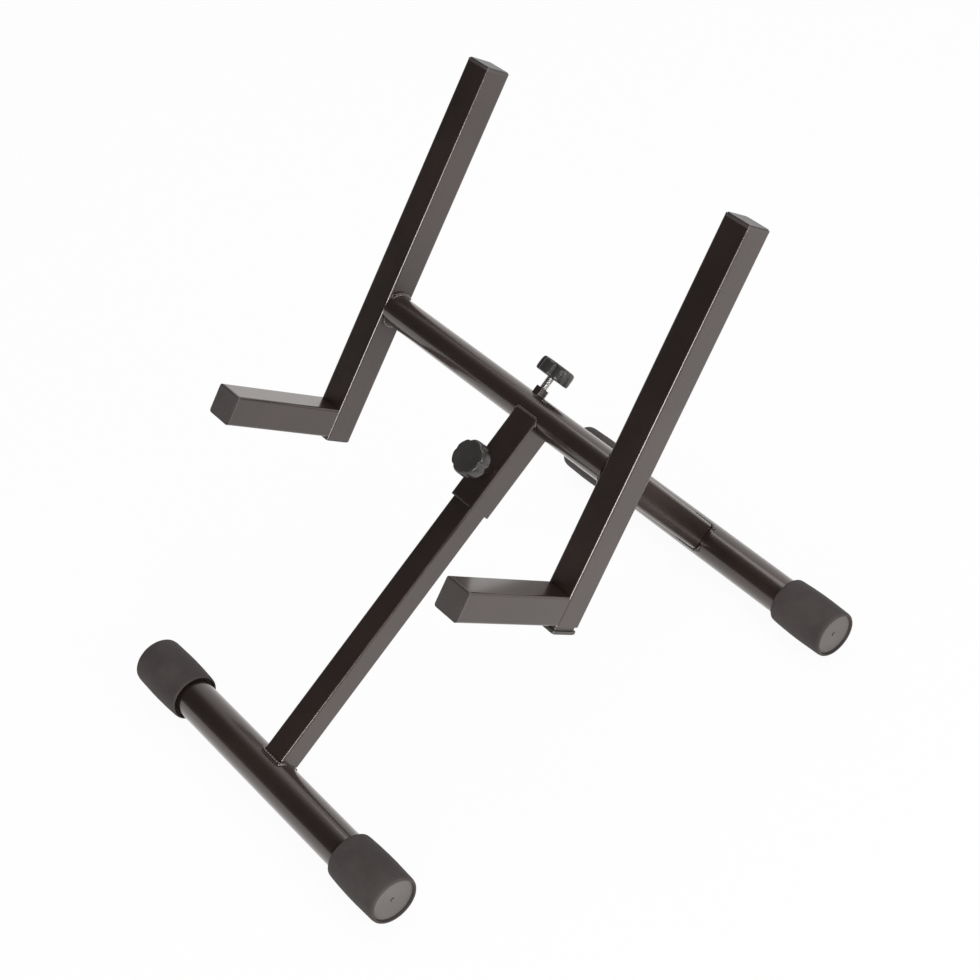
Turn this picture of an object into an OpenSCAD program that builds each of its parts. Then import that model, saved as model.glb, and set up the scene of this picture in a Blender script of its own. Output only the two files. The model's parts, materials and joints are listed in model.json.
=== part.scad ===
// Tilt-back floor stand: a two-armed welded cradle on a crossbar, carried by a
// telescoping front T-leg and a socketed rear T-leg, each locked by a hand knob.
// +X runs to the right, +Y to the back, +Z up. The origin is the middle of the
// footprint, on the floor.

/* [Cradle] */
// Outside width of the square arm and lip tube
arm_w = 25; // [20:1:32]
// Wall of the arm and lip tube
arm_wall = 1.5; // [1:0.1:2.5]
// Outside corner radius of the square tubes
tube_corner = 2.2; // [1.7:0.1:3]
// Distance between the centre lines of the two arms
arm_spacing = 290; // [240:5:360]
// Length of arm tube above the crossbar axis
arm_above = 203; // [150:1:260]
// Length of arm tube below the crossbar axis
arm_below = 118; // [90:1:150]
// Length of the lip tube in front of the arm
lip_len = 105; // [70:0.5:135]
// Angle that the cradle leans back from upright
lean = 31.5; // [22:0.5:38]
// Outside diameter of the crossbar
crossbar_d = 25.4; // [22:0.1:32]
// Wall of the crossbar
crossbar_wall = 1.5; // [1:0.1:2.5]
// Size of the fillet welds between crossbar and arms
weld_size = 2.6; // [1.5:0.1:4]

/* [Stance] */
// Height of the crossbar axis above the floor
crossbar_h = 236; // [200:1:280]
// Reach of the front foot ahead of the crossbar axis
front_reach = 260; // [215:1:312]
// Reach of the rear foot behind the crossbar axis
rear_reach = 180; // [150:1:216]
// Sideways distance from the middle of the arms to the leg plane
leg_offset = 46.5; // [0:0.5:60]

/* [Legs] */
// Outside width of the square sleeve under the crossbar
sleeve_w = 25; // [21:0.5:30]
// Wall of the sleeve
sleeve_wall = 1.5; // [1:0.1:2]
// Distance from the crossbar axis to the open end of the sleeve
sleeve_end = 85.2; // [75:0.2:102]
// Length of the front leg held inside the sleeve
leg_overlap = 40; // [33:1:48]
// Gap on each side between the front leg and the sleeve
slide_gap = 0.4; // [0.2:0.05:0.6]
// Wall of the front leg tube
front_wall = 1.5; // [1:0.1:2]
// Outside width of the rear leg tube
rear_w = 25; // [20:1:30]
// Wall of the rear leg tube
rear_wall = 1.5; // [1:0.1:2.5]
// Diameter of the rear leg's round spigot
spigot_d = 18; // [15:0.1:20]
// Depth that the upper stud bites into the spigot's groove
groove_bite = 1.3; // [0.8:0.1:1.8]
// Radial clearance of the spigot in its socket
spigot_gap = 0.08; // [0.03:0.01:0.1]
// Gap between the rear leg's top plug and the crossbar
rear_top_gap = 0.5; // [0.3:0.1:1]

/* [Feet] */
// Diameter of the round foot tubes
foot_d = 32; // [26:1:36]
// Wall of the foot tubes
foot_wall = 1.5; // [1:0.1:2.5]
// Length of each foot tube
foot_len = 308; // [256:1:370]
// Largest diameter of the rubber caps
cap_d = 42; // [40:0.5:50]
// Length of the sleeve part of a cap
cap_grip = 50; // [40:1:62]
// Thickness of the closed end of a cap
cap_end = 5; // [4:0.5:8]
// Radial clearance of a cap on its tube
cap_gap = 0.05; // [0.02:0.01:0.2]

/* [End plugs] */
// Thickness of a plug's flange
plug_flange = 3; // [2:0.1:4]
// Length of a plug's body inside the tube
plug_depth = 14; // [8:0.5:20]
// Clearance of a plug's body in its tube
plug_gap = 0.1; // [0.05:0.01:0.2]
// Distance that the loose plug has worked out of the right arm
plug_out = 3.8; // [0:0.1:6]

/* [Clamps] */
// Diameter of the threaded studs
stud_d = 6; // [5:0.5:7]
// Radial clearance of a stud in its nut and its knob
stud_gap = 0.08; // [0.03:0.01:0.1]
// Width of the weld nuts across flats
nut_flats = 10; // [9.5:0.5:12]
// Height of the nut on the sleeve
lower_nut_h = 5.5; // [4:0.5:8]
// Height of the nut on the crossbar, above the crossbar's crown
upper_nut_h = 5.5; // [4:0.5:8]
// Distance from the crossbar axis to the lower clamp
clamp_along = 55.4; // [50:0.2:62]
// Bare stud between the lower nut and its knob
lower_stud_bare = 9; // [5:0.5:12]
// Bare stud between the upper nut and its knob
upper_stud_bare = 10.3; // [5:0.5:12]
// Diameter of the knobs
knob_d = 29; // [24:0.5:35]
// Height of the knobs
knob_h = 12; // [10:0.5:16]
// Number of finger grooves round a knob
knob_grooves = 6; // [3:1:8]
// Diameter of the tool that cuts each groove
groove_d = 4; // [3:0.5:6]
// Depth of a finger groove
groove_depth = 1.3; // [0.8:0.1:2.5]
// Gap between the lower stud's tip and the front leg
tip_gap = 0.1; // [0.05:0.01:0.3]
// Clearance of the upper stud in the spigot's groove
groove_gap = 0.2; // [0.1:0.05:0.4]

/* [Hidden] */
$fn = 64;

frame_black = [0.16, 0.14, 0.135];
plastic_black = [0.1, 0.1, 0.1];
rubber_grey = [0.28, 0.265, 0.26];
knob_grey = [0.3, 0.295, 0.285];
zinc = [0.78, 0.77, 0.75];

// Stance, worked out from the reaches and the crossbar height.
cap_r = cap_d / 2;
foot_drop = crossbar_h - cap_r;
front_len = sqrt(front_reach * front_reach + foot_drop * foot_drop);
rear_len = sqrt(rear_reach * rear_reach + foot_drop * foot_drop);
front_turn = 180 - atan2(front_reach, foot_drop);
rear_turn = 180 + atan2(rear_reach, foot_drop);

// Sideways places. The legs stand at leg_x and the arms either side of arm_mid.
cap_reach = foot_len / 2 + cap_end;
left_end = -leg_offset - arm_spacing / 2 - arm_w / 2;
leg_x = -(min(left_end, -cap_reach) + max(arm_spacing / 2 - leg_offset + arm_w / 2, cap_reach)) / 2;
left_x = leg_x - leg_offset - arm_spacing / 2;
right_x = leg_x - leg_offset + arm_spacing / 2;
bar_y = (front_reach - rear_reach) / 2;

// Front leg and sleeve.
front_w = sleeve_w - 2 * sleeve_wall - 2 * slide_gap;
front_top = sleeve_end - leg_overlap;
crossbar_r = crossbar_d / 2;
foot_r = foot_d / 2;
legs_apart = rear_turn - front_turn;
rear_top = max(crossbar_r + rear_top_gap,
    (sleeve_w / 2 + rear_top_gap + rear_w / sqrt(2) * cos(legs_apart)) / sin(legs_apart));
spigot_past = 6.4;
sleeve_relief = 0.4;
stud_hole_r = stud_d / 2 + stud_gap;

// Places across the clamps, measured from the axis that each knob points away from.
lower_nut_at = sleeve_w / 2;
lower_tip = front_w / 2 + tip_gap;
lower_knob_at = lower_nut_at + lower_nut_h + lower_stud_bare;
upper_tip = -8;
upper_across = spigot_d / 2 + stud_d / 2 - groove_bite;
upper_nut_top = crossbar_r + upper_nut_h;
upper_knob_at = upper_nut_top + upper_stud_bare;
knob_blind = knob_h - 3;
knob_seat_gap = 0.3;

// Frames. Each puts the crossbar axis at its own origin.
module at_crossbar() { translate([leg_x, bar_y, crossbar_h]) children(); }
module in_cradle() { translate([0, bar_y, crossbar_h]) rotate([-lean, 0, 0]) children(); }
module down_front() { at_crossbar() rotate([front_turn, 0, 0]) children(); }
module down_rear() { at_crossbar() rotate([rear_turn, 0, 0]) children(); }
module at_front_foot() { translate([leg_x, bar_y - front_reach, cap_r]) children(); }
module at_rear_foot() { translate([leg_x, bar_y + rear_reach, cap_r]) children(); }

// Square with round corners, built from exact shapes.
module round_square(w, r) {
    square([w, w - 2 * r], center = true);
    square([w - 2 * r, w], center = true);
    for (sx = [-1, 1], sy = [-1, 1])
        translate([sx * (w / 2 - r), sy * (w / 2 - r)]) circle(r);
}

// Square tube standing on z = 0.
module square_tube(w, wall, length) {
    linear_extrude(length) difference() {
        round_square(w, tube_corner);
        round_square(w - 2 * wall, tube_corner - wall / 2);
    }
}

// Round tube centred along x.
module round_tube(d, wall, length) {
    rotate([0, 90, 0]) difference() {
        cylinder(d = d, h = length, center = true);
        cylinder(d = d - 2 * wall, h = length + 2, center = true);
    }
}

// End plug: body below z = 0, flange above it with an eased rim.
module end_plug(w, wall) {
    ease = 0.8;
    body_w = w - 2 * wall - 2 * plug_gap;
    translate([0, 0, -plug_depth])
        linear_extrude(plug_depth) round_square(body_w, tube_corner - wall / 2);
    linear_extrude(plug_flange - ease) round_square(w, tube_corner);
    linear_extrude(plug_flange) round_square(w - 2 * ease, tube_corner);
}

// Crossbar, with the socket hole for the rear leg and the hole under the upper nut.
module crossbar() {
    bar_len = arm_spacing - arm_w;
    color(frame_black) difference() {
        translate([(left_x + right_x) / 2, bar_y, crossbar_h])
            round_tube(crossbar_d, crossbar_wall, bar_len);
        down_rear() cylinder(d = spigot_d + 2 * spigot_gap, h = crossbar_d);
        at_upper_clamp() cylinder(r = stud_hole_r, h = crossbar_d);
    }
}

module arm(x) {
    color(frame_black) in_cradle() translate([x, 0, -arm_below])
        square_tube(arm_w, arm_wall, arm_below + arm_above);
}

// Lip tube, butted on the front face of the arm, flush with its lower end.
module lip(x) {
    color(frame_black) in_cradle() translate([x, -arm_w / 2, arm_w / 2 - arm_below])
        rotate([90, 0, 0]) square_tube(arm_w, arm_wall, lip_len);
}

// Fillets above and below the crossbar where it meets an arm's inner face.
module crossbar_weld(x, side) {
    color(frame_black) intersection() {
        translate([x, bar_y, crossbar_h]) rotate([0, side * 90, 0])
            rotate_extrude() translate([crossbar_r, 0])
                polygon([[0, 0], [weld_size, 0], [weld_size * 0.42, weld_size * 0.42], [0, weld_size]]);
        in_cradle() translate([x, 0, 0])
            cube([arm_w, arm_w - 2 * tube_corner, arm_w * 2], center = true);
    }
}

module arm_top_plug(x) {
    color(plastic_black) in_cradle() translate([x, 0, arm_above]) end_plug(arm_w, arm_wall);
}

module arm_bottom_plug(x, out) {
    color(plastic_black) in_cradle() translate([x, 0, -arm_below - out])
        rotate([180, 0, 0]) end_plug(arm_w, arm_wall);
}

module lip_plug(x) {
    color(plastic_black) in_cradle()
        translate([x, -arm_w / 2 - lip_len, arm_w / 2 - arm_below])
            rotate([90, 0, 0]) end_plug(arm_w, arm_wall);
}

// Sleeve, coped to the crossbar and relieved round the rear spigot, with the
// clamp hole in its upper face.
module leg_sleeve() {
    color(frame_black) difference() {
        down_front() square_tube(sleeve_w, sleeve_wall, sleeve_end);
        translate([leg_x, bar_y, crossbar_h]) rotate([0, 90, 0])
            cylinder(r = crossbar_r, h = 2 * sleeve_w, center = true);
        down_front() translate([0, 0, clamp_along]) rotate([-90, 0, 0])
            cylinder(r = stud_hole_r, h = sleeve_w);
        down_rear() cylinder(r = spigot_d / 2 + sleeve_relief, h = 2 * crossbar_r);
    }
}

module hex_nut(height) {
    difference() {
        cylinder(d = nut_flats / cos(30), h = height, $fn = 6);
        translate([0, 0, -1]) cylinder(r = stud_hole_r, h = height + 2);
    }
}

module lower_nut() {
    color(frame_black) down_front() translate([0, lower_nut_at, clamp_along])
        rotate([-90, 0, 0]) hex_nut(lower_nut_h);
}

// The upper nut is saddled on the crossbar.
module upper_nut() {
    color(frame_black) difference() {
        at_upper_clamp() hex_nut(upper_nut_top);
        translate([leg_x - upper_across, bar_y, crossbar_h]) rotate([0, 90, 0])
            cylinder(r = crossbar_r, h = 2 * nut_flats, center = true);
    }
}

module front_leg_tube() {
    color(frame_black) down_front() translate([0, 0, front_top])
        square_tube(front_w, front_wall, front_len - foot_r - front_top);
}

module foot_tube() { color(frame_black) round_tube(foot_d, foot_wall, foot_len); }

// Weld filling the two gaps between a leg's flat end and its round foot tube.
module foot_weld(w) {
    root = 1.5;
    side_w = w / 2 - root;
    rotate([90, 0, 90]) linear_extrude(w - 2 * tube_corner, center = true) difference() {
        for (side = [-1, 1])
            translate([side * (root + side_w / 2), -foot_r * 0.75])
                square([side_w, foot_r / 2], center = true);
        circle(foot_r);
    }
}

// Rubber cap along +x: barrel wall, open mouth at x = 0 with a counterbore, and
// a recessed disc with a small nub in the closed end.
module foot_cap() {
    total = cap_grip + cap_end;
    bore_r = foot_r + cap_gap;
    rim = 1.6;
    dish = 2.2;
    mouth = 4;
    mouth_r = foot_r + 2.2;
    color(rubber_grey) rotate([0, 90, 0]) rotate_extrude() polygon([
        [bore_r, mouth], [mouth_r, mouth - 1.2], [mouth_r, 0.8], [mouth_r + 0.8, 0],
        [cap_r - 2.4, 0], [cap_r - 1.2, 1], [cap_r - 0.9, 3],
        [cap_r - 0.3, total * 0.25], [cap_r, total * 0.45], [cap_r, total * 0.6],
        [cap_r - 0.5, total - 3], [cap_r - 0.9, total - 0.9], [cap_r - 1.6, total],
        [cap_r - rim - 1.4, total], [cap_r - rim - 1.8, total - dish],
        [1.7, total - dish], [1.4, total - dish + 0.8], [0, total - dish + 0.8],
        [0, cap_grip], [bore_r, cap_grip]]);
}

module cap_right() { translate([foot_len / 2 - cap_grip, 0, 0]) foot_cap(); }
module cap_left() { mirror([1, 0, 0]) cap_right(); }

module rear_leg_tube() {
    color(frame_black) down_rear() translate([0, 0, rear_top + plug_flange])
        square_tube(rear_w, rear_wall, rear_len - foot_r - rear_top - plug_flange);
}

// Rear leg's top plug, with the round spigot that enters the crossbar. The upper
// stud runs through its groove, so the leg can swivel but can't pull out.
module rear_leg_spigot() {
    color(frame_black) down_rear() {
        translate([0, 0, rear_top + plug_flange]) rotate([180, 0, 0]) end_plug(rear_w, rear_wall);
        difference() {
            translate([0, 0, -spigot_past]) cylinder(d = spigot_d, h = spigot_past + rear_top + 1);
            difference() {
                cylinder(d = spigot_d + 2, h = stud_d + 2 * groove_gap, center = true);
                cylinder(r = upper_across - stud_d / 2 - groove_gap, h = 2 * stud_d, center = true);
            }
        }
    }
}

module clamp_stud(tip, knob_at) {
    ease = 0.6;
    length = knob_at + knob_blind - knob_seat_gap - tip;
    color(zinc) translate([0, 0, tip]) rotate_extrude() polygon([
        [0, 0], [stud_d / 2 - ease, 0], [stud_d / 2, ease], [stud_d / 2, length], [0, length]]);
}

// Knob with a domed top, finger grooves and a blind hole for its stud.
module clamp_knob() {
    r = knob_d / 2;
    color(knob_grey) difference() {
        rotate_extrude() polygon([
            [0, 0], [r - 1.2, 0], [r - 0.4, 0.5], [r, 1.4], [r, knob_h - 2.6],
            [r - 0.6, knob_h - 1.4], [r - 2, knob_h - 0.6], [r - 5, knob_h - 0.2], [0, knob_h]]);
        for (i = [0:knob_grooves - 1])
            rotate(i * 360 / knob_grooves + 180 / knob_grooves)
                translate([r + groove_d / 2 - groove_depth, 0, -1])
                    cylinder(d = groove_d, h = knob_h + 2);
        translate([0, 0, -1]) cylinder(r = stud_hole_r, h = knob_blind + 1);
    }
}

module at_lower_clamp() {
    down_front() translate([0, 0, clamp_along]) rotate([-90, 0, 0]) children();
}
module at_upper_clamp() {
    down_rear() translate([-upper_across, 0, 0]) rotate([90, 0, 0]) children();
}

crossbar();
arm(left_x);  // left_arm
arm(right_x);  // right_arm
lip(left_x);  // left_lip
lip(right_x);  // right_lip
crossbar_weld(left_x + arm_w / 2, 1);  // left_crossbar_weld
crossbar_weld(right_x - arm_w / 2, -1);  // right_crossbar_weld
arm_top_plug(left_x);  // left_arm_top_plug
arm_top_plug(right_x);  // right_arm_top_plug
arm_bottom_plug(left_x, 0);  // left_arm_bottom_plug
arm_bottom_plug(right_x, plug_out);  // right_arm_bottom_plug
lip_plug(left_x);  // left_lip_plug
lip_plug(right_x);  // right_lip_plug
leg_sleeve();
lower_nut();
upper_nut();
front_leg_tube();
at_front_foot() foot_tube();  // front_foot_tube
color(frame_black) at_front_foot() rotate([front_turn, 0, 0]) foot_weld(front_w);  // front_foot_weld
at_front_foot() cap_left();  // front_foot_cap_left
at_front_foot() cap_right();  // front_foot_cap_right
rear_leg_tube();
rear_leg_spigot();
at_rear_foot() foot_tube();  // rear_foot_tube
color(frame_black) at_rear_foot() rotate([rear_turn, 0, 0]) foot_weld(rear_w);  // rear_foot_weld
at_rear_foot() cap_left();  // rear_foot_cap_left
at_rear_foot() cap_right();  // rear_foot_cap_right
at_lower_clamp() clamp_stud(lower_tip, lower_knob_at);  // lower_clamp_stud
at_lower_clamp() translate([0, 0, lower_knob_at]) clamp_knob();  // lower_clamp_knob
at_upper_clamp() clamp_stud(upper_tip, upper_knob_at);  // upper_clamp_stud
at_upper_clamp() translate([0, 0, upper_knob_at]) clamp_knob();  // upper_clamp_knob
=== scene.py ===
"""Tilt-back amplifier stand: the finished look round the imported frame."""
import json
import math
import random

import bmesh
import bpy
from mathutils import Matrix, Vector


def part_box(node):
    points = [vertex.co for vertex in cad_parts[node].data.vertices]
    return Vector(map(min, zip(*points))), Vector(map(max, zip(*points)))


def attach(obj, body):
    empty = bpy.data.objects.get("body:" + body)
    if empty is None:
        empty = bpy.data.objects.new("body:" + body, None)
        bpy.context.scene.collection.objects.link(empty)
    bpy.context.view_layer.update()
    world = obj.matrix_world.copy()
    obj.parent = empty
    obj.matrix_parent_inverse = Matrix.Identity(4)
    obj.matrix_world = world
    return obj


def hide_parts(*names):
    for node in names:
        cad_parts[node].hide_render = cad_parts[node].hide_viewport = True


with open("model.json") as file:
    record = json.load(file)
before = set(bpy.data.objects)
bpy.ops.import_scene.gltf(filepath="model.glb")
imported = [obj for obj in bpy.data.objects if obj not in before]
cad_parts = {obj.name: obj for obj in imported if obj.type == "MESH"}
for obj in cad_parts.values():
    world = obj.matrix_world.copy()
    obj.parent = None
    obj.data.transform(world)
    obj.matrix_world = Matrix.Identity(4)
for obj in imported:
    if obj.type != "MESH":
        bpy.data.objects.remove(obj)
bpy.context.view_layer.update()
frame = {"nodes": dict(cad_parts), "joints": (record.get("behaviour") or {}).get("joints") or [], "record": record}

# ---------------------------------------------------------------------------
# Camera. A short telephoto view from high on the right, looking down across
# the cradle to the crossbar. Places are counted from the point on the crossbar
# axis where the two legs meet.
# ---------------------------------------------------------------------------


def middle(node):
    """The centre of a node's box."""
    low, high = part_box(node)
    return (Vector(low) + Vector(high)) / 2


bar_centre = middle("crossbar")
hub = Vector((middle("front_leg_tube").x, bar_centre.y, bar_centre.z))
camera = bpy.data.cameras.new("camera")
camera.sensor_width = 36
camera.lens = 81.07
camera.clip_end = 20
camera_right = Vector((0.61918, 0.7852, -0.0105))
camera_up = Vector((-0.49082, 0.39745, 0.77529))
camera_back = camera_right.cross(camera_up)
camera_object = bpy.data.objects.new("camera", camera)
turn = Matrix((camera_right, camera_up, camera_back)).transposed().to_4x4()
camera_object.matrix_world = Matrix.Translation(hub + Vector((1.0172, -0.8341, 0.9991))) @ turn
bpy.context.scene.collection.objects.link(camera_object)
bpy.context.scene.camera = camera_object

# ---------------------------------------------------------------------------
# Welded tube. Square and round steel tube, joined and then sprayed as one with
# a warm black satin enamel. It has a faint orange peel and a little pale dust,
# and its tone drifts between black and brown along the tubes.
# ---------------------------------------------------------------------------


class Wire:
    """A shader socket that Python's own sums and products can be written with."""

    def __init__(self, finish, socket):
        self.finish = finish
        self.socket = socket

    def maths(self, operation, first, second):
        return self.finish.node("Math", {"operation": operation}, {0: first, 1: second})

    def __add__(self, other):
        return self.maths("ADD", self, other)

    def __radd__(self, other):
        return self.maths("ADD", other, self)

    def __sub__(self, other):
        return self.maths("SUBTRACT", self, other)

    def __mul__(self, other):
        return self.maths("MULTIPLY", self, other)

    def __rmul__(self, other):
        return self.maths("MULTIPLY", other, self)

    def __gt__(self, other):
        return self.maths("GREATER_THAN", self, other)

    def __lt__(self, other):
        return self.maths("LESS_THAN", self, other)

    def __abs__(self):
        return self.finish.node("Math", {"operation": "ABSOLUTE"}, {0: self})

    def along(self, axis):
        """One part of a vector."""
        return self.finish.node("SeparateXYZ", {}, {"Vector": self}, axis)

    def ramp(self, low, high):
        """0 at low, 1 at high, smooth between."""
        settings = {"interpolation_type": "SMOOTHSTEP"}
        return self.finish.node("MapRange", settings, {"Value": self, "From Min": low, "From Max": high})


class Finish:
    """The nodes of a material or a world, with its one shader to feed."""

    def __init__(self, holder, shader, **constants):
        self.holder = holder
        self.holder.use_nodes = True
        self.tree = self.holder.node_tree
        self.shader = self.tree.nodes[shader]
        for socket, value in constants.items():
            self.shader.inputs[socket.replace("_", " ")].default_value = value

    def feed(self, socket, value):
        if isinstance(value, Wire):
            self.tree.links.new(value.socket, socket)
        else:
            socket.default_value = value

    def node(self, kind, settings, sockets, output=0):
        """A node with its settings made first, then its sockets linked or filled."""
        made = self.tree.nodes.new("ShaderNode" + kind)
        for key, value in settings.items():
            setattr(made, key, value)
        for key, value in sockets.items():
            self.feed(made.inputs[key], value)
        return Wire(self, made.outputs[output])

    def place(self):
        """The point on the piece, in metres, before it is posed."""
        return self.node("TexCoord", {}, {}, "Object")

    def facing(self):
        """The way the surface faces, before the piece is posed."""
        return self.node("TexCoord", {}, {}, "Normal")

    def noise(self, scale, detail=3.0, rough=0.55):
        sockets = {"Vector": self.place(), "Scale": scale, "Detail": detail, "Roughness": rough}
        return self.node("TexNoise", {}, sockets, "Fac")

    def blend(self, amount, first, second):
        """A colour that runs from first to second."""
        settings = {"data_type": "RGBA"}
        return self.node("Mix", settings, {"Factor": amount, 6: first, 7: second}, 2)

    def bump(self, height, strength, distance):
        sockets = {"Height": height, "Strength": strength, "Distance": distance}
        self.set("Normal", self.node("Bump", {}, sockets))

    def set(self, socket, value):
        self.feed(self.shader.inputs[socket], value)


def surface(name, **constants):
    """A new material, and its Principled shader."""
    return Finish(bpy.data.materials.new(name), "Principled BSDF", **constants)


def enamel():
    """Satin black enamel on steel."""
    finish = surface("black_enamel", Specular_IOR_Level=0.5, Specular_Tint=(1.0, 0.88, 0.84, 1),
                     Coat_Weight=1.0, Coat_Roughness=0.13, Coat_Tint=(1.0, 0.93, 0.90, 1))
    patch = finish.noise(14, 4)
    peel = finish.noise(900, 2)
    thin = finish.noise(95, 3)
    speck = finish.noise(2100, 1).ramp(0.70, 0.76)
    colour = finish.blend(patch.ramp(0.35, 0.7), (0.0125, 0.0085, 0.0078, 1),
                          (0.0185, 0.0125, 0.0110, 1))
    colour = finish.blend(speck * 0.10, colour, (0.12, 0.115, 0.11, 1))
    finish.set("Base Color", colour)
    finish.set("Roughness", 0.26 + 0.12 * patch + 0.06 * thin)
    finish.bump(peel * 0.7 + thin * 0.5, 0.07, 0.0004)
    return finish.holder


def paint(material, *nodes):
    """Gives CAD nodes their finish."""
    for node in nodes:
        mesh = frame["nodes"][node].data
        mesh.materials.clear()
        mesh.materials.append(material)


black_enamel = enamel()
tubes = ["crossbar", "left_arm", "right_arm", "left_lip", "right_lip", "leg_sleeve",
         "front_leg_tube", "front_foot_tube", "rear_leg_tube", "rear_foot_tube", "rear_leg_spigot"]
welds = ["left_crossbar_weld", "right_crossbar_weld", "front_foot_weld", "rear_foot_weld"]
nuts = ["lower_nut", "upper_nut"]
paint(black_enamel, *tubes, *welds, *nuts)

# ---------------------------------------------------------------------------
# Weld beads. Where the tubes meet, a run of overlapping puddles of weld metal
# bridges the joint, and the enamel covers it. Each run is swept along its
# joint, with a ripple for each puddle and a little unevenness from the hand.
# ---------------------------------------------------------------------------


def joint_axis(name):
    """The way a joint of the frame points."""
    return Vector(next(joint for joint in frame["joints"] if joint["name"] == name)["axis"]).normalized()


front_down = joint_axis("front_leg_extend")
rear_down = joint_axis("rear_leg_swivel")
across = Vector((1, 0, 0))


def add_piece(name, mesh, material, body):
    """Puts a mesh in the scene as a piece that rides on a body."""
    piece = bpy.data.objects.new(name, mesh)
    bpy.context.scene.collection.objects.link(piece)
    mesh.materials.append(material)
    for face in mesh.polygons:
        face.use_smooth = True
    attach(piece, body)
    return piece


def skin(rings):
    """Mesh over a list of rings of points, with a pole at each end."""
    made = bmesh.new()
    rows = [[made.verts.new(point) for point in ring] for ring in rings]
    count = len(rows[0])
    for row, following in zip(rows, rows[1:]):
        for i in range(count):
            k = (i + 1) % count
            made.faces.new((row[i], row[k], following[k], following[i]))
    for row in (rows[0], rows[-1]):
        pole = made.verts.new(sum((vert.co for vert in row), Vector()) / count)
        for i in range(count):
            made.faces.new((row[i], row[(i + 1) % count], pole))
    bmesh.ops.recalc_face_normals(made, faces=made.faces)
    mesh = bpy.data.meshes.new("skin")
    made.to_mesh(mesh)
    made.free()
    return mesh


def spaced(path, closed, step):
    """Points every step along a path."""
    corners = path + path[:1] if closed else path
    points = []
    left = 0.0
    for start, end in zip(corners, corners[1:]):
        length = (end - start).length
        while left < length:
            points.append(start.lerp(end, left / length))
            left += step
        left -= length
    return points


def weld_bead(name, path, width, body, seed, closed=True):
    """A rippled bead of that width along a path."""
    dice = random.Random(seed)
    step = width * 0.16
    points = spaced(path, closed, step)
    puddle = width * dice.uniform(0.72, 0.85)
    count = len(points)
    sides = 10
    swell = 0.0
    rings = []
    for i, point in enumerate(points):
        before = points[i - 1] if closed or i else point
        after = points[(i + 1) % count] if closed or i < count - 1 else point
        along = (after - before).normalized()
        out = along.orthogonal().normalized()
        side = along.cross(out)
        phase = (i * step / puddle) % 1.0
        swell += (dice.uniform(-0.12, 0.12) - swell) * 0.2
        radius = width / 2 * (0.82 + 0.26 * math.sqrt(math.sin(math.pi * phase)) + swell)
        if not closed:
            radius *= min(1.0, 0.35 + 0.25 * min(i, count - 1 - i))
        rings.append([point + radius * (math.cos(turn) * out + math.sin(turn) * side)
                      for turn in (2 * math.pi * k / sides for k in range(sides))])
    # Each ring starts at the point nearest the first of the ring before it.
    for i in range(1, len(rings)):
        first = rings[i - 1][0]
        start = min(range(sides), key=lambda k: (rings[i][k] - first).length)
        rings[i] = rings[i][start:] + rings[i][:start]
    add_piece(name, skin(rings), black_enamel, body)


def square_loop(half, corner, steps=5):
    """Points round a square with rounded corners, as (sideways, upright) pairs."""
    points = []
    for quarter in range(4):
        for k in range(steps + 1):
            turn = math.pi / 2 * (quarter + k / steps)
            at = Matrix.Rotation(math.pi / 2 * quarter, 2) @ Vector((half - corner, half - corner))
            points.append(at + corner * Vector((math.cos(turn), math.sin(turn))))
    return points


def round_radius(node):
    """The radius of a round tube that runs across."""
    low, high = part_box(node)
    return (high[2] - low[2]) / 2


bar_radius = round_radius("crossbar")
lean_up = Vector(next(m for m in frame["record"]["mounts"] if m["name"] == "left_lip_face")["axis"])
lean_front = across.cross(lean_up)
arm_bead_inset = 0.0010
arm_bead_radius = bar_radius + 0.0007
arm_bead_width = 0.0042
# The crossbar is welded to each arm only above and below, as two short arcs.
spread = [math.radians(-46 + 92 * k / 24) for k in range(25)]
for side, edge in (("left", 0), ("right", 1)):
    face_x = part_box("crossbar")[edge][0]
    root = Vector((face_x + arm_bead_inset * (1 - 2 * edge), hub.y, hub.z))
    for place, sense, seed in (("top", 1, 3), ("bottom", -1, 7)):
        arc = [root + arm_bead_radius * (sense * math.cos(turn) * lean_up + math.sin(turn) * lean_front)
               for turn in spread]
        weld_bead(side + "_crossbar_bead_" + place, arc, arm_bead_width, "upper_frame", seed + edge,
                  closed=False)


def saddle(centre, down, half, corner, radius, towards):
    """Where a square tube lying along down meets a round tube that runs across."""
    upright = across.cross(down)
    path = []
    for sideways, height in square_loop(half, corner):
        depth = math.sqrt(max(radius ** 2 - height ** 2, 0))
        path.append(centre + across * sideways + upright * height + down * depth * towards)
    return path


def half_width(node):
    """Half the width of a square tube, which lies square to X."""
    low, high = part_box(node)
    return (high[0] - low[0]) / 2


tube_corner = 0.0022
sleeve_bead_width = 0.0019
foot_bead_width = 0.0038
lip_bead_width = 0.0012
lip_bead_inset = 0.0013
sleeve_joint = saddle(hub, front_down, half_width("leg_sleeve"), tube_corner, bar_radius + 0.0002, 1)
weld_bead("sleeve_bead", sleeve_joint, sleeve_bead_width, "upper_frame", 11)
foot_radius = round_radius("front_foot_tube")
for name, down, seed in (("front", front_down, 21), ("rear", rear_down, 34)):
    half = half_width(name + "_leg_tube")
    foot_joint = saddle(middle(name + "_foot_tube"), down, half, tube_corner, foot_radius + 0.0003, -1)
    weld_bead(name + "_foot_bead", foot_joint, foot_bead_width, name + "_leg", seed)

for side, seed in (("left", 5), ("right", 8)):
    arm = middle(side + "_arm")
    lip = middle(side + "_lip")
    half = half_width(side + "_arm")
    root = lip + lean_front * ((arm - lip).dot(lean_front) + half)
    loop = [root + across * x + lean_up * y for x, y in square_loop(half - lip_bead_inset, tube_corner)]
    weld_bead(side + "_lip_bead", loop, lip_bead_width, "upper_frame", seed)


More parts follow.
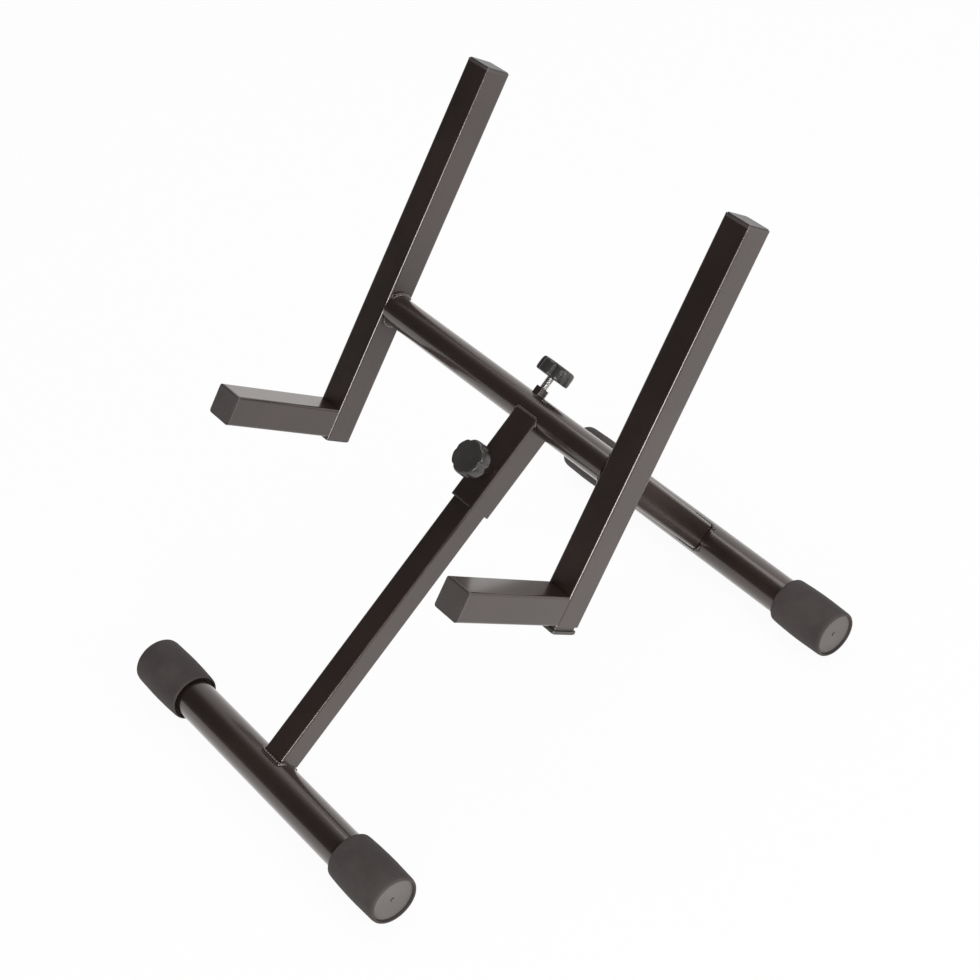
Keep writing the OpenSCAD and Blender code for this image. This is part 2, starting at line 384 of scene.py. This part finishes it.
def flat_end(node, down):
    """How far from the crossbar axis a square tube is cut off, from its lowest Y."""
    return (hub.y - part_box(node)[0][1] - half_width(node) * abs(down.z)) / abs(down.y)


# The sawn mouth of the sleeve keeps a small burr under the enamel.
burr_width = 0.0013
half = half_width("leg_sleeve") - burr_width * 0.35
mouth = hub + front_down * (flat_end("leg_sleeve", front_down) - burr_width * 0.4)
burr = [mouth + across * x + across.cross(front_down) * y for x, y in square_loop(half, tube_corner)]
weld_bead("sleeve_burr", burr, burr_width, "upper_frame", 40)

# ---------------------------------------------------------------------------
# End plugs. Moulded black polythene inserts pushed into every open end of the
# square tube, with a thin flange that covers the cut. They are duller than the
# enamel and faintly grained by the mould.
# ---------------------------------------------------------------------------


def moulded_plastic():
    """Black moulded polythene."""
    finish = surface("black_polythene", Specular_IOR_Level=0.6)
    cloud = finish.noise(60, 3)
    grain = finish.noise(1600, 2)
    finish.set("Base Color", finish.blend(cloud, (0.042, 0.035, 0.033, 1), (0.060, 0.050, 0.047, 1)))
    finish.set("Roughness", 0.34 + 0.14 * cloud)
    finish.bump(grain, 0.15, 0.0003)
    return finish.holder


black_polythene = moulded_plastic()
plugs = [side + place for side in ("left_", "right_")
         for place in ("arm_top_plug", "arm_bottom_plug", "lip_plug")]
paint(black_polythene, *plugs)

# ---------------------------------------------------------------------------
# Foot caps. Thick black rubber cups pushed over the ends of the foot tubes.
# The rubber is matt and greyed by handling, with a bloom. The recessed disc in the closed end
# is painted paler: painted light, standing in for the lamp light that the end faces catch.
# ---------------------------------------------------------------------------


cap_end_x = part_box("front_foot_cap_right")[1][0] - hub.x
closed_end = 0.010
rim_edge = 0.0005


def cap_rubber():
    """Matt grey-black rubber."""
    finish = surface("foot_rubber", Specular_IOR_Level=0.35)
    bloom = finish.noise(38, 4)
    grain = finish.noise(1300, 3)
    mottle = finish.noise(240, 3)
    tone = bloom.ramp(0.3, 0.72) * 0.6 + mottle * 0.4
    out = abs(finish.place().along("X") - hub.x)
    # The disc faces straight out, and lies behind the rim and in front of the tube's end.
    faces_out = abs(finish.facing().along("X")) > 0.9
    painted_light_disc = faces_out * (out > cap_end_x - closed_end) * (out < cap_end_x - rim_edge)
    side_tone = finish.blend(tone, (0.034, 0.028, 0.026, 1), (0.060, 0.049, 0.047, 1))
    # Painted light: the end disc gets a paler tone than the sides, as if lit by the lamp at the side.
    painted_lit_disc_tone = finish.blend(tone, (0.098, 0.089, 0.085, 1), (0.125, 0.114, 0.109, 1))
    finish.set("Base Color", finish.blend(painted_light_disc, side_tone, painted_lit_disc_tone))
    finish.set("Roughness", 0.68 + 0.14 * mottle)
    finish.bump(grain * 0.6 + mottle * 0.4, 0.25, 0.0005)
    return finish.holder


foot_rubber = cap_rubber()
caps = [leg + "_foot_cap_" + side for leg in ("front", "rear") for side in ("left", "right")]
paint(foot_rubber, *caps)

# ---------------------------------------------------------------------------
# Clamp studs. M6 threaded rod, zinc plated, screwed through the weld nuts. The
# thread is cut along the whole stud, so each is swept as a helical ridge.
# ---------------------------------------------------------------------------


def zinc_plate():
    """Bright zinc plate."""
    finish = surface("bright_zinc", Metallic=1.0)
    streak = finish.noise(420, 3)
    finish.set("Base Color", finish.blend(streak, (0.52, 0.51, 0.50, 1), (0.74, 0.73, 0.71, 1)))
    finish.set("Roughness", 0.24 + 0.18 * streak)
    return finish.holder


bright_zinc = zinc_plate()


def clamp_axis(name):
    """The line that a clamp turns about, pointing out to its knob."""
    return joint_axis(name + "_clamp_turn")


def stud_ends(name):
    """The tip of a clamp's stud, and its length. The stud slopes, so its box is wider than it is."""
    low, high = (Vector(corner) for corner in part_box(name + "_clamp_stud"))
    axis = clamp_axis(name)
    radius = (high.x - low.x) / 2
    length = (high.y - low.y - 2 * radius * abs(axis.z)) / abs(axis.y)
    centre = (low + high) / 2
    return centre - axis * length / 2, length, radius


def threaded_stud(name):
    """One stud, with its thread."""
    tip, length, radius = stud_ends(name)
    axis = clamp_axis(name)
    out = axis.cross(across).normalized()
    pitch = 0.001
    depth = 0.0005
    sides = 24
    turns = 8
    rings = []
    for i in range(int(length / pitch * turns) + 1):
        along = min(i * pitch / turns, length)
        ring = []
        for k in range(sides):
            turn = 2 * math.pi * k / sides
            phase = (along / pitch - k / sides) % 1.0
            ridge = min(1.0, abs(2 * phase - 1) * 1.3)
            fade = min(1.0, along / (0.8 * pitch))
            reach = radius - depth * (1 - ridge) - depth * 1.2 * (1 - fade)
            ring.append(tip + axis * along + reach * (math.cos(turn) * out + math.sin(turn) * across))
        rings.append(ring)
    piece = add_piece(name + "_stud_thread", skin(rings), bright_zinc, name + "_clamp")
    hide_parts(name + "_clamp_stud")


for clamp in ("lower", "upper"):
    threaded_stud(clamp)

# ---------------------------------------------------------------------------
# Clamp knobs. Round moulded thumb knobs with six finger flutes and a shallow
# dish in the outer face, pressed on the outer end of each stud.
# ---------------------------------------------------------------------------


def knob_plastic():
    """Glossy black moulded nylon."""
    finish = surface("knob_nylon", Specular_IOR_Level=0.5)
    cloud = finish.noise(90, 3)
    grain = finish.noise(1900, 2)
    finish.set("Base Color", finish.blend(cloud, (0.024, 0.022, 0.021, 1), (0.036, 0.033, 0.031, 1)))
    finish.set("Roughness", 0.20 + 0.12 * cloud)
    finish.bump(grain, 0.10, 0.0003)
    return finish.holder


knob_nylon = knob_plastic()


def fluted_knob(name):
    """One knob, swept up its axis as rings whose radius dips at each flute."""
    axis = clamp_axis(name)
    out = axis.cross(across).normalized()
    low, high = (Vector(corner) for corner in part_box(name + "_clamp_knob"))
    reach = (high.x - low.x) / 2 - 0.0001
    height = 0.012
    flutes = 6
    flute_depth = 0.0019
    flute_spread = 0.13
    top = (low + high) / 2 + axis * height / 2
    bottom = top - axis * height
    sides = 144
    # Height up the knob, radius as a share of the rim, and how deep the flutes are there.
    profile = [(0.02, 0.26, 0), (0.02, 0.80, 0.2), (0.02, 0.92, 0.8), (0.05, 0.965, 1),
               (0.12, 0.99, 1), (0.25, 1.0, 1), (0.50, 1.0, 1), (0.70, 0.995, 1), (0.80, 0.985, 0.9),
               (0.88, 0.965, 0.7), (0.94, 0.935, 0.45), (0.975, 0.89, 0.25), (0.99, 0.83, 0.1),
               (0.985, 0.77, 0), (0.965, 0.70, 0), (0.935, 0.60, 0), (0.91, 0.48, 0),
               (0.895, 0.34, 0), (0.89, 0.16, 0)]
    rings = []
    for rise, share, fluting in profile:
        ring = []
        for k in range(sides):
            turn = 2 * math.pi * k / sides
            wave = (turn * flutes / (2 * math.pi)) % 1.0
            dip = math.exp(-((wave - 0.5) / flute_spread) ** 2)
            at = reach * share - flute_depth * dip * fluting
            ring.append(bottom + axis * height * rise + at * (math.cos(turn) * out + math.sin(turn) * across))
        rings.append(ring)
    piece = add_piece(name + "_knob_fluted", skin(rings), knob_nylon, name + "_clamp")
    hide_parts(name + "_clamp_knob")


for clamp in ("lower", "upper"):
    fluted_knob(clamp)

# ---------------------------------------------------------------------------
# Studio. A plain pale floor that runs to white, soft lamps on the right, at the
# front right and overhead, and a dim front so that faces turned to it stay dark.
# ---------------------------------------------------------------------------

floor_mesh = bpy.data.meshes.new("floor")
floor_half = 6.0
floor_mesh.from_pydata([(-floor_half, -floor_half, 0), (floor_half, -floor_half, 0),
                        (floor_half, floor_half, 0), (-floor_half, floor_half, 0)], [], [(0, 1, 2, 3)])
floor = bpy.data.objects.new("floor", floor_mesh)
bpy.context.scene.collection.objects.link(floor)


def floor_finish():
    """Matt white board, lifted nearly to white where the camera or a mirror sees it."""
    finish = surface("floor_white", Base_Color=(0.80, 0.80, 0.80, 1), Roughness=0.9)
    camera_ray, glossy, through = (finish.node("LightPath", {}, {}, name)
                                   for name in ("Is Camera Ray", "Is Glossy Ray", "Is Transmission Ray"))
    glow = finish.node("Emission", {}, {"Color": (1, 1, 1, 1), "Strength": 1.0})
    seen = camera_ray * 0.95 + glossy * 0.97 + through * 0.97
    output = finish.tree.nodes["Material Output"]
    mixed = finish.node("MixShader", {}, {0: seen, 1: Wire(finish, finish.shader.outputs[0]), 2: glow})
    finish.feed(output.inputs["Surface"], mixed)
    return finish.holder


floor_mesh.materials.append(floor_finish())

bpy.context.scene.world = bpy.data.worlds.new("studio")
sky = Finish(bpy.context.scene.world, "Background", Color=(1, 1, 1, 1))
# Mirrors see the room dark in front of the stand and white behind it.
dark_in_front = sky.node("MapRange", {"interpolation_type": "SMOOTHSTEP"},
                         {"Value": sky.node("TexCoord", {}, {}, "Generated").along("Y"), "From Min": -0.15,
                          "From Max": 0.75, "To Min": 0.06, "To Max": 1.0})
lit = sky.node("Mix", {}, {0: sky.node("LightPath", {}, {}, "Is Glossy Ray"), 2: 0.50, 3: dark_in_front})
sky.set("Strength", sky.node("Mix", {}, {0: sky.node("LightPath", {}, {}, "Is Camera Ray"), 2: lit, 3: 1.0}))


def softbox(name, at, aim, size, power):
    """A square soft lamp turned towards a point."""
    lamp = bpy.data.lights.new(name, "AREA")
    lamp.size = size
    lamp.energy = power
    holder = bpy.data.objects.new(name, lamp)
    holder.location = at
    holder.rotation_euler = (Vector(aim) - Vector(at)).to_track_quat("-Z", "Y").to_euler()
    bpy.context.scene.collection.objects.link(holder)


softbox("right_softbox", (2.4, 0.4, 0.9), hub, 1.6, 34)
softbox("front_right_softbox", (1.75, -1.6, 0.55), hub, 0.8, 34)
softbox("top_softbox", (-0.4, 0.7, 2.4), hub, 1.8, 22)
bpy.context.scene.view_settings.view_transform = "Standard"
